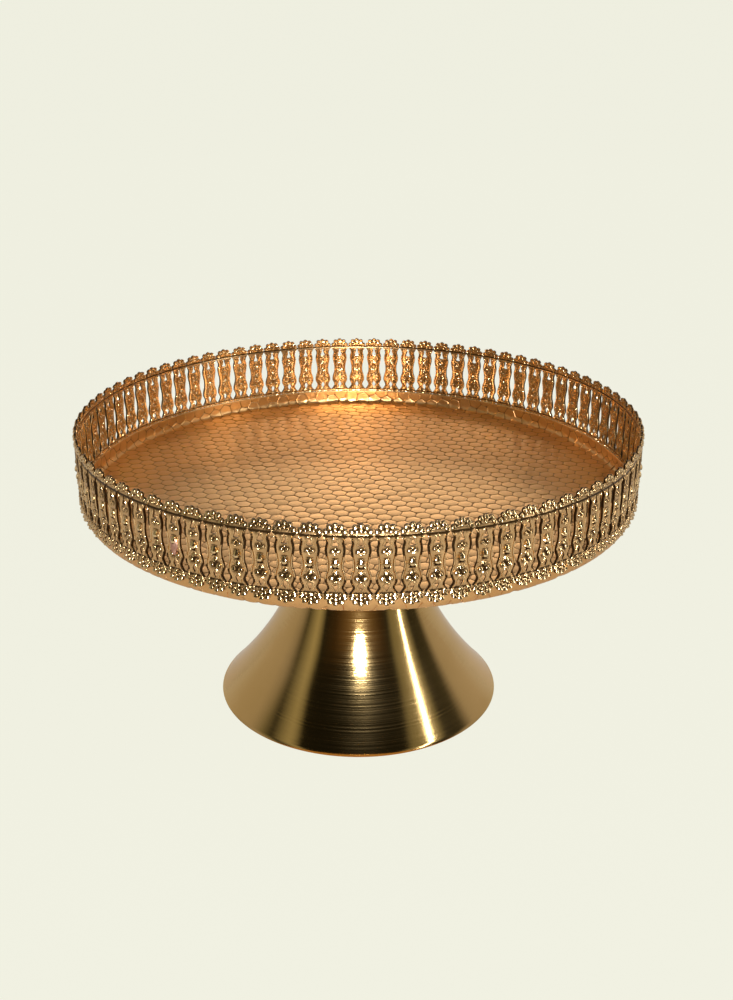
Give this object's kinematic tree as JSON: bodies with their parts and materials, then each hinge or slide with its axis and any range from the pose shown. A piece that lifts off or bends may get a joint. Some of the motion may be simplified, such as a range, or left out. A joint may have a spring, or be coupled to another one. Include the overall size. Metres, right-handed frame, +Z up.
{
  "type": "cake stand",
  "caption": "Round footed cake stand: shallow honeycomb-embossed tray inside a pierced scalloped gallery, screwed to a hollow flared pedestal.",
  "frame": {"origin": "centre of the circle that the pedestal's foot stands on", "axes": "+Z up along the stand's axis; -Y towards the front, with the gallery's seam at the front left"},
  "size_m": [0.264, 0.264, 0.146],
  "materials": {
    "tray_gold": "warm gold-tone plating over pressed sheet, satin, honeycomb embossed",
    "gallery_gold": "gold-tone plating over stamped strip, bright",
    "pedestal_gold": "polished gold-tone plating over spun sheet, fine lathe lines",
    "plain_steel": "plain rolled steel",
    "zinc_steel": "bright zinc plating",
    "spring_steel": "dark spring steel",
    "solder": "pinkish solder, dull"
  },
  "bodies": {
    "root": {"tray_pan": "tray_gold", "gallery_band": "gallery_gold", "seam_solder": "solder", "mount_plate": "plain_steel", "stud": "zinc_steel", "pedestal_cone": "pedestal_gold", "flat_washer": "zinc_steel", "lock_washer": "spring_steel", "wing_nut": "zinc_steel"}
  },
  "joints": []
}
